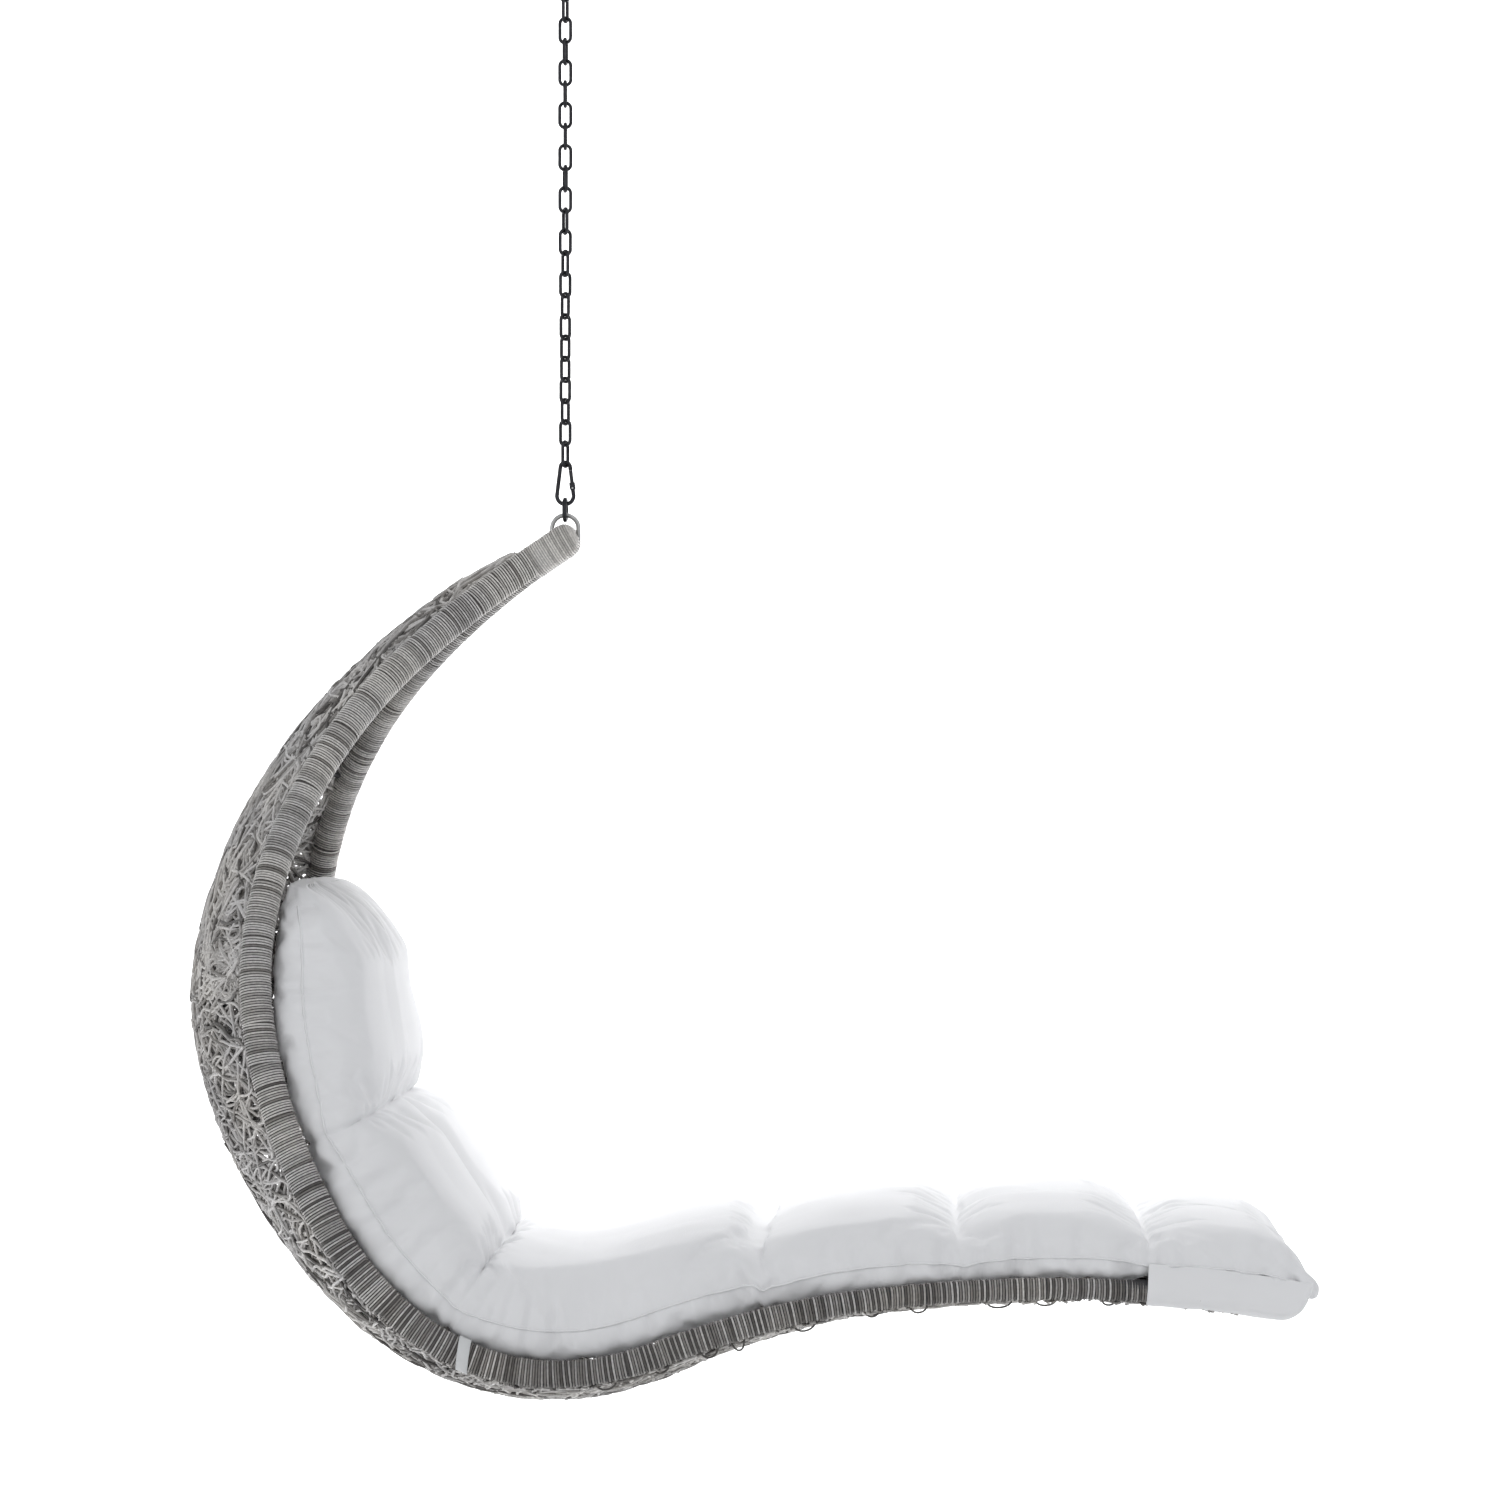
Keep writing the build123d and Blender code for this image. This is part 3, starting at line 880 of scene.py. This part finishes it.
@dataclass
class LooseLoops:
    """Short ends and loops of vine that hang below the leg rails."""

    loops: tuple = (
        (0.632, 34, 7), (0.661, 26, 6), (0.688, 30, 8), (0.704, 22, 10), (0.741, 40, 8), (0.778, 24, 6),
        (0.803, 30, 7), (0.846, 46, 7), (0.871, 38, 6), (0.905, 24, 5),
    )
    outline: tuple = ((-1.0, -6), (-0.9, 0), (-0.5, 0.85), (0.0, 1.0), (0.55, 0.8), (0.9, 0), (1.0, -6))
    vine_r: float = 1.5 * MM

    def build(self, finishes: dict) -> None:
        """Hang the loops under both rails.

        Args:
            finishes: material of each tone and finish.
        """
        strands = []
        for fraction, width, drop in self.loops:
            spread = width * MM / RAIL.length / 2
            points = []
            for share, low in self.outline:
                cut = RAIL.section(fraction + share * spread)
                fall = 1.5 * low * drop * MM if low > 0 else low * MM
                points.append(cut.place(-(cut.half - 6 * MM), cut.wrap_r - 1 * MM + fall))
            strands.append(Strand(np.array(points), self.vine_r, Tone.DARK))
        piece = strands_piece("loose_vine_loops", strands + mirrored(strands), finishes)
        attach(piece, "lounger")


# ------------------------------------------------------------------ the cushion
@dataclass
class Channel:
    """One stuffed channel: its ends on the rail, and its thickness at the seams and the middle."""

    start: float
    end: float
    seam: float
    middle: float


@dataclass
class Cushion:
    """The long cushion: six stuffed channels in one cover, gathered along both sides."""

    channels: list = field(default_factory=lambda: [
        Channel(0.262, 0.413, 72, 102), Channel(0.413, 0.541, 78, 102), Channel(0.541, 0.721, 78, 96),
        Channel(0.721, 0.827, 48, 68), Channel(0.827, 0.925, 44, 64), Channel(0.925, 1.0125, 42, 56),
    ])
    rows: int = 250
    around: int = 168
    head_round: float = 135 * MM
    foot_round: float = 42 * MM
    cap: float = 20 * MM
    underside: tuple = (0.56, 0.94)
    under_hold: float = 0.35
    girth: float = 2 * (0.68 + 0.09)
    pucker_reach: float = 0.060
    pucker_waves: tuple = ((0.046, 1.0), (0.024, 0.45))
    pucker_height: float = 8.0
    seam_depth: float = 4.0

    def channel_at(self, fraction: float) -> Channel:
        """The channel that a fraction of the rail falls in.

        Args:
            fraction: where on the rail.

        Returns:
            The channel.
        """
        for channel in self.channels:
            if fraction <= channel.end:
                return channel
        return self.channels[-1]

    def thickness(self, fraction: float) -> float:
        """Thickness at a fraction, in metres: full in a channel's middle, drawn in at its seams.

        Args:
            fraction: where on the rail.

        Returns:
            The thickness.
        """
        channel = self.channel_at(fraction)
        share = (fraction - channel.start) / (channel.end - channel.start)
        full = 1 - abs(2 * share - 1) ** 3.2
        depth = (channel.seam + (channel.middle - channel.seam) * full) * MM
        head = (fraction - self.channels[0].start) * RAIL.length / self.head_round
        foot = (self.channels[-1].end - fraction) * RAIL.length / self.foot_round
        for share in (head, foot):
            if share < 1:
                depth *= max(0.22, math.sqrt(max(0.0, 1 - (1 - max(share, 0.0)) ** 2)))
        return depth

    def ring(self, fraction: float) -> np.ndarray:
        """Outline of the cushion across the frame.

        Args:
            fraction: where on the rail.

        Returns:
            The points of the ring.
        """
        cut = RAIL.section(fraction)
        depth = self.thickness(fraction)
        half = cut.half - 0.30 * cut.wrap_r
        head = (fraction - self.channels[0].start) * RAIL.length / self.head_round
        if head < 1:
            half *= 0.84 + 0.16 * math.sqrt(max(0.0, 1 - (1 - head) ** 2))
        base = 0.95 * cut.wrap_r + 1.5 * MM
        sag = np.interp(fraction, (0.26, 0.4, 0.6, 0.8, 1.0), (14, 26, 26, 14, 4)) * MM
        foot = max(0.0, 1 - (self.channels[-1].end - fraction) * RAIL.length / (1.5 * self.foot_round))
        middle = base + 0.5 * self.thickness(min(fraction, 0.97)) - 20 * MM * foot * foot
        angles = np.linspace(0, 2 * math.pi, 1441)
        cosine, sine = np.cos(angles), np.sin(angles)
        power = max(4.0, 3.4 * half / max(depth, 0.02))
        across = half * np.sign(cosine) * np.abs(cosine) ** (2 / power)
        height = depth / 2 * np.sign(sine) * np.abs(sine) ** np.where(sine > 0, 2 / 2.6, 2 / 7)
        crown = 1 - (across / half) ** 2
        height = np.where(sine > 0, height + 0.10 * depth * crown, height - sag * crown)
        steps = np.hypot(np.diff(across), np.diff(height))
        reach = np.concatenate([[0], np.cumsum(steps)])
        even = np.linspace(0, reach[-1], self.around, endpoint=False)
        ys, hs = np.interp(even, reach, across), np.interp(even, reach, height)
        corner = np.exp(-(half - np.abs(ys)) / (26 * MM)) * 16 * MM * foot * foot
        return np.array([cut.place(y, -(middle + h)) + cut.along * c for y, h, c in zip(ys, hs, corner)])

    def seam_rows(self, places: np.ndarray) -> list:
        """Row numbers nearest the cross seams."""
        return [int(np.argmin(np.abs(places - channel.end))) for channel in self.channels[:-1]]

    def stuff(self, obj: bpy.types.Object, seams: list) -> None:
        """Blow the cover up between its seams with cloth pressure, then keep the result.

        Args:
            obj: the plain cushion.
            seams: row numbers of the cross seams.
        """
        start = np.empty(len(obj.data.vertices) * 3)
        obj.data.vertices.foreach_get("co", start)
        start = start.reshape(-1, 3)
        side = {0, self.around // 2}
        held = [row * self.around + col for row in seams for col in range(self.around)]
        held += [row * self.around + col for row in range(self.rows) for col in side]
        held += [row * self.around + col for row in (0, self.rows - 1) for col in range(self.around)]
        under = [row * self.around + col for row in range(self.rows)
                 for col in range(*(int(self.around * share) for share in self.underside))]
        group = obj.vertex_groups.new(name="held")
        group.add(under, self.under_hold, "REPLACE")
        group.add(held, 1.0, "REPLACE")
        cloth = obj.modifiers.new("stuffing", "CLOTH")
        settings = cloth.settings
        settings.quality = 5
        settings.mass = 0.25
        settings.tension_stiffness = 12
        settings.compression_stiffness = 12
        settings.shear_stiffness = 4
        settings.bending_stiffness = 0.12
        settings.use_pressure = True
        settings.uniform_pressure_force = 4.0
        settings.shrink_min = -0.07
        settings.vertex_group_mass = "held"
        settings.pin_stiffness = 1.0
        settings.effector_weights.gravity = 0.0
        cloth.collision_settings.use_self_collision = False
        scene = bpy.context.scene
        for number in range(1, 21):
            scene.frame_set(number)
        select_only(obj)
        bpy.ops.object.modifier_apply(modifier=cloth.name)
        scene.frame_set(1)
        moved = np.empty(len(obj.data.vertices) * 3)
        obj.data.vertices.foreach_get("co", moved)
        shift = moved.reshape(-1, 3) - start
        size = np.linalg.norm(shift, axis=1, keepdims=True)
        shift *= np.minimum(1.0, self.cap / np.maximum(size, 1e-9))
        obj.data.vertices.foreach_set("co", (start + shift).ravel())
        obj.vertex_groups.clear()
        obj.data.update()

    def gather(self, obj: bpy.types.Object, places: np.ndarray, seams: list) -> None:
        """Pucker the cover where it is gathered into the side welt and the cross seams.

        Args:
            obj: the stuffed cushion.
            places: fraction of the rail at each row.
            seams: row numbers of the cross seams.
        """
        dice = np.random.default_rng(23)
        points = np.empty(len(obj.data.vertices) * 3)
        obj.data.vertices.foreach_get("co", points)
        grid = points.reshape(self.rows, self.around, 3)
        normals = np.empty(len(obj.data.vertices) * 3)
        obj.data.vertices.foreach_get("normal", normals)
        normals = normals.reshape(self.rows, self.around, 3)
        columns = np.arange(self.around)
        half = self.around // 2
        from_side = np.minimum(columns % half, half - columns % half)
        spacing = self.girth / self.around
        near_side = np.exp(-(from_side * spacing / self.pucker_reach) ** 1.5)
        step = (places[1] - places[0]) * RAIL.length
        fold = np.zeros((self.rows, self.around))
        for side in (0, 1):
            mine = np.abs(((columns / self.around - side * 0.5 + 0.5) % 1.0) - 0.5) < 0.25
            for wave, height in self.pucker_waves:
                phase = np.cumsum(dice.uniform(0.55, 1.5, self.rows)) * step / wave * 2 * math.pi
                knots = np.arange(0, self.rows + 8, 7)
                strength = np.interp(np.arange(self.rows), knots, dice.uniform(0.15, 1.2, len(knots)))
                slant = from_side * spacing / 0.03 * dice.uniform(-0.9, 0.9)
                waves = 1.6 * np.abs(np.sin((phase[:, None] + slant[None, :]) / 2)) ** 0.7 - 1.1
                waves = waves * strength[:, None] * height
                fold += waves * (near_side * mine)[None, :]
        broad = dice.uniform(-1, 1, (self.rows // 9 + 2, self.around // 9 + 2))
        rows_at = np.linspace(0, broad.shape[0] - 1.001, self.rows)
        cols_at = np.linspace(0, broad.shape[1] - 1.001, self.around)
        coarse = np.array([np.interp(cols_at, np.arange(broad.shape[1]), line) for line in broad])
        fold += 0.42 * np.array([np.interp(rows_at, np.arange(broad.shape[0]), line) for line in coarse.T]).T
        for row in seams:
            away = np.abs(np.arange(self.rows) - row) * step
            pull = np.exp(-away / 0.026) * (away > 0)
            knots = np.arange(0, self.around + 5, 4)
            ripple = np.interp(columns, knots, dice.uniform(-1, 1, len(knots)))
            fold += 0.7 * pull[:, None] * ripple[None, :]
            grid[row] -= normals[row] * self.seam_depth * MM
        top = (np.arange(self.around) < self.around * 0.53)[None, :, None]
        grid += normals * (fold * self.pucker_height * MM)[..., None] * np.where(top, 1.0, 0.35)
        obj.data.vertices.foreach_set("co", grid.ravel())
        obj.data.update()

    def welt(self, obj: bpy.types.Object, finishes: dict) -> None:
        """The thin welt sewn along both sides at mid height.

        Args:
            obj: the gathered cushion.
            finishes: material of each tone and finish.
        """
        points = np.array([v.co for v in obj.data.vertices]).reshape(self.rows, self.around, 3)
        strands = []
        for column in (0, self.around // 2):
            line = points[4:-2, column]
            out = np.array([0.0, 1.0 if line[0][1] > 0 else -1.0, 0.0])
            strands.append(Strand(line + out * 0.6 * MM, 1.6 * MM, Tone.LIGHT))
        piece = strands_piece("cushion_welt", strands, {tone: finishes["cloth"] for tone in Tone})
        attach(piece, "lounger")

    def build(self, finishes: dict) -> None:
        """Make, stuff and gather the cushion.

        Args:
            finishes: material of each tone and finish.
        """
        places = np.linspace(self.channels[0].start, self.channels[-1].end, self.rows)
        seams = self.seam_rows(places)
        rings = np.array([self.ring(f) for f in places])
        piece = loft_piece("long_cushion", rings, finishes["cloth"])
        self.stuff(piece, seams)
        self.gather(piece, places, seams)
        self.welt(piece, finishes)
        apply_modifier(piece, "SUBSURF", levels=1, render_levels=1)
        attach(piece, "lounger")
        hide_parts("cushion")
        LOG.info("cushion: %d faces", len(piece.data.polygons))


@dataclass
class FootPocket:
    """The cloth sleeve under the foot channel that slips over the frame's end."""

    start: float = 0.925
    end: float = 1.0125
    rows: int = 44
    around: int = 96
    cloth: float = 1.6 * MM
    turn: float = 0.9965
    ripple: float = 0.9
    ripple_gap: int = 5

    def ring(self, fraction: float, close: float) -> np.ndarray:
        """The sleeve's trough, from the right welt under the frame to the left welt.

        Args:
            fraction: where on the rail.
            close: how far the end has closed, from 0 to 1.

        Returns:
            The points of the trough.
        """
        cut = RAIL.section(fraction)
        top = 0.95 * cut.wrap_r + 24 * MM
        floor = -(cut.wrap_r + 4.5 * MM)
        floor += (top - 2 * MM - floor) * (1 - math.sqrt(max(0.0, 1 - close ** 2)))
        wide, narrow = cut.half + cut.wrap_r + 3 * MM, cut.half - 0.20 * cut.wrap_r
        outline = [(-narrow, top), (-(narrow + wide) / 2 - 2 * MM, top - 0.25 * (top - floor)),
                   (-wide, min(0.0, top)), (-wide + 3 * MM, 0.55 * floor), (-wide + 14 * MM, floor),
                   (0.0, floor - 1 * MM * (1 - close))]
        if close > 0:
            outline = [(y, max(h, floor)) if n else (y, h) for n, (y, h) in enumerate(outline)]
        outline += [(-y, h) for y, h in reversed(outline[:-1])]
        table = np.array(outline)
        reach = np.concatenate([[0], np.cumsum(np.hypot(*np.diff(table, axis=0).T))])
        even = np.linspace(0, reach[-1], self.around)
        ys, hs = np.interp(even, reach, table[:, 0]), np.interp(even, reach, table[:, 1])
        kernel = np.array([0.25, 0.5, 0.25])
        for _ in range(4):
            ys[1:-1] = np.convolve(ys, kernel, "valid")
            hs[1:-1] = np.convolve(hs, kernel, "valid")
        return np.array([cut.place(y, -h) for y, h in zip(ys, hs)])

    def build(self, finishes: dict) -> None:
        """Make the sleeve, ripple it a little, and give the cloth its thickness.

        Args:
            finishes: material of each tone and finish.
        """
        places = np.linspace(self.start, self.end, self.rows)
        rings = []
        for fraction in places:
            close = max(0.0, (fraction - self.turn) / (self.end - self.turn))
            rings.append(self.ring(fraction, min(1.0, close)))
        grid = np.array(rings)
        dice = np.random.default_rng(4)
        knots = np.arange(0, self.rows * 2, self.ripple_gap)
        wave = np.interp(np.arange(self.rows * 2), knots, dice.uniform(-1, 1, len(knots)))
        for row in range(2, self.rows - 2):
            grid[row] += RAIL.section(places[row]).outward * wave[row] * self.ripple * MM
        piece = loft_piece("foot_pocket_sleeve", grid, finishes["cloth"], closed=False, caps=False)
        apply_modifier(piece, "SOLIDIFY", thickness=self.cloth, offset=0.0)
        apply_modifier(piece, "SUBSURF", levels=1, render_levels=1)
        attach(piece, "lounger")
        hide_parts("foot_pocket")


@dataclass
class TieStrap:
    """A webbing tie's band round a rail."""

    place: float = 0.557
    width: float = 17 * MM
    thickness: float = 1.3 * MM
    slant: float = 0.30

    def band(self, side: int) -> np.ndarray:
        """Rings of the flat band along its loop round the rail.

        Args:
            side: -1 for the right rail, 1 for the left.

        Returns:
            The rings.
        """
        centre = RAIL.point(self.place)
        heading, first, second = RAIL.spokes(self.place)
        radius = read_table(WRAP_RADIUS, self.place) + 1.4 * MM
        rings = []
        for angle in np.linspace(0, 2 * math.pi, 48):
            spoke = math.cos(angle) * first + math.sin(angle) * second
            over = self.slant * radius * math.cos(angle)
            mid = centre + spoke * radius + heading * over
            half_w, half_t = heading * self.width / 2, spoke * self.thickness / 2
            rings.append([mid - half_w - half_t, mid + half_w - half_t,
                          mid + half_w + half_t, mid - half_w + half_t])
        rings = np.array(rings)
        if side > 0:
            rings = rings * np.array([1.0, -1.0, 1.0])
        return rings

    def build(self, finishes: dict) -> None:
        """Make the right and left ties.

        Args:
            finishes: material of each tone and finish.
        """
        for side, name in ((-1, "right"), (1, "left")):
            piece = loft_piece(f"{name}_tie_band", self.band(side), finishes["webbing"])
            apply_modifier(piece, "BEVEL", width=0.3 * MM, segments=1)
            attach(piece, "lounger")
            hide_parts(f"{name}_tie_strap")


# ------------------------------------------------------------------ fittings and studio
class Fittings:
    """Finishes of the metal parts that keep their own shape."""

    GROUPS = {
        "dark": ("ceiling_plate", "swivel_housing", "swivel_eye_bolt", "swivel_nut", "upper_hook",
                 "upper_gate", "lower_hook", "lower_gate", "hanger_ring"),
        "plain": ("upper_gate_pin", "upper_gate_spring", "lower_gate_pin", "lower_gate_spring",
                  "hanger_bail"),
        "brass": ("thrust_washer",),
        "black": ("right_rail", "left_rail", "apex_block", "foot_bar", "back_spine", "upper_back_rib",
                  "middle_back_rib", "lower_back_rib", "seat_rib", "thigh_rib", "calf_rib"),
    }

    def build(self, finishes: dict) -> None:
        """Give every kept part its finish.

        Args:
            finishes: material of each tone and finish.
        """
        for node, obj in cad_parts.items():
            for finish, members in self.GROUPS.items():
                if node in members or (finish == "dark" and node.startswith("chain_link")):
                    for material_slot in obj.material_slots:
                        material_slot.material = finishes[finish]


@dataclass
class Studio:
    """Pale floor and backdrop, soft lights and the camera."""

    distance: float = 6.0
    azimuth: float = math.radians(2.4)
    view_width: float = 2.16
    centre_x: float = 0.266
    centre_z: float = -0.338
    floor_drop: float = 0.55
    floor_near: float = -9.0
    sweep_start: float = 4.0
    sweep_r: float = 2.5
    sweep_height: float = 9.0
    sweep_half: float = 12.0
    sensor: float = 36.0

    def camera(self) -> None:
        """Set the camera level with the middle of the view."""
        right = Vector((math.cos(self.azimuth), math.sin(self.azimuth), 0))
        ahead = Vector((-math.sin(self.azimuth), math.cos(self.azimuth), 0))
        eye = right * self.centre_x - ahead * self.distance
        eye.z = HANG_Z + self.centre_z
        bpy.ops.object.camera_add(location=eye, rotation=(math.pi / 2, 0, self.azimuth))
        camera = bpy.context.object
        camera.data.sensor_width = self.sensor
        camera.data.lens = self.sensor * self.distance / self.view_width
        bpy.context.scene.camera = camera

    def floor(self) -> None:
        """A pale floor that curves up into a backdrop."""
        low = CAD_BOX[0][2] - self.floor_drop
        profile = [(self.floor_near, low), (self.sweep_start, low)]
        for angle in np.linspace(0.1, math.pi / 2, 12):
            profile.append((self.sweep_start + self.sweep_r * math.sin(angle),
                            low + self.sweep_r * (1 - math.cos(angle))))
        profile.append((self.sweep_start + self.sweep_r, low + self.sweep_height))
        rows = np.array([[(x, y, z) for x in (-self.sweep_half, self.sweep_half)] for y, z in profile])
        mat, _, _, shader = new_material("studio_paper")
        shader.inputs["Base Color"].default_value = (0.93, 0.93, 0.93, 1)
        shader.inputs["Roughness"].default_value = 0.9
        shader.inputs["Specular IOR Level"].default_value = 0.1
        sheet = loft_piece("studio_sweep", rows, mat, closed=False, caps=False)

    def light(self, name: str, place: tuple, aim: tuple, size: float, power: float) -> None:
        """One soft square light aimed at a point.

        Args:
            name: the light's name.
            place: where it stands.
            aim: the point it faces.
            size: its side, in metres.
            power: its power, in watts.
        """
        bpy.ops.object.light_add(type="AREA", location=place)
        lamp = bpy.context.object
        lamp.name = name
        lamp.data.size = size
        lamp.data.energy = power
        lamp.rotation_euler = (Vector(aim) - Vector(place)).to_track_quat("-Z", "Y").to_euler()

    def build(self) -> None:
        """Light the scene for a white catalogue look."""
        self.camera()
        self.floor()
        middle = (0.2, 0.0, HANG_Z - 0.7)
        self.light("key_light", (2.6, -3.6, 1.2), middle, 3.4, 44)
        self.light("fill_light", (-3.6, -3.4, -0.6), middle, 3.2, 34)
        self.light("top_light", (0.4, 0.6, 1.9), middle, 3.4, 6)
        self.light("backdrop_light", (0.0, 2.2, 1.6), (0.0, 6.0, -1.2), 5.0, 520)
        world = bpy.data.worlds.new("soft_sky")
        world.use_nodes = True
        world.node_tree.nodes["Background"].inputs["Color"].default_value = (0.95, 0.97, 1.0, 1)
        world.node_tree.nodes["Background"].inputs["Strength"].default_value = 0.50
        bpy.context.scene.world = world
        bpy.context.scene.view_settings.view_transform = "Standard"


def main() -> None:
    """Build every piece in order."""
    logging.basicConfig(level=logging.INFO, format="%(name)s: %(message)s")
    finishes = {tone: finish.material() for tone, finish in VINES.items()}
    finishes.update(cloth=CUSHION_CLOTH.material(), webbing=WEBBING.material(), dark=DARK_STEEL.material(),
                    plain=PLAIN_STEEL.material(), brass=BRASS.material(), black=BLACK_FRAME.material())
    Studio().build()
    Fittings().build(finishes)
    RailWinding().build(finishes)
    TipWinding().build(finishes)
    for weave in NESTS:
        weave.build(finishes)
    LooseLoops().build(finishes)
    Cushion().build(finishes)
    FootPocket().build(finishes)
    TieStrap().build(finishes)


if __name__ == "__main__":
    main()
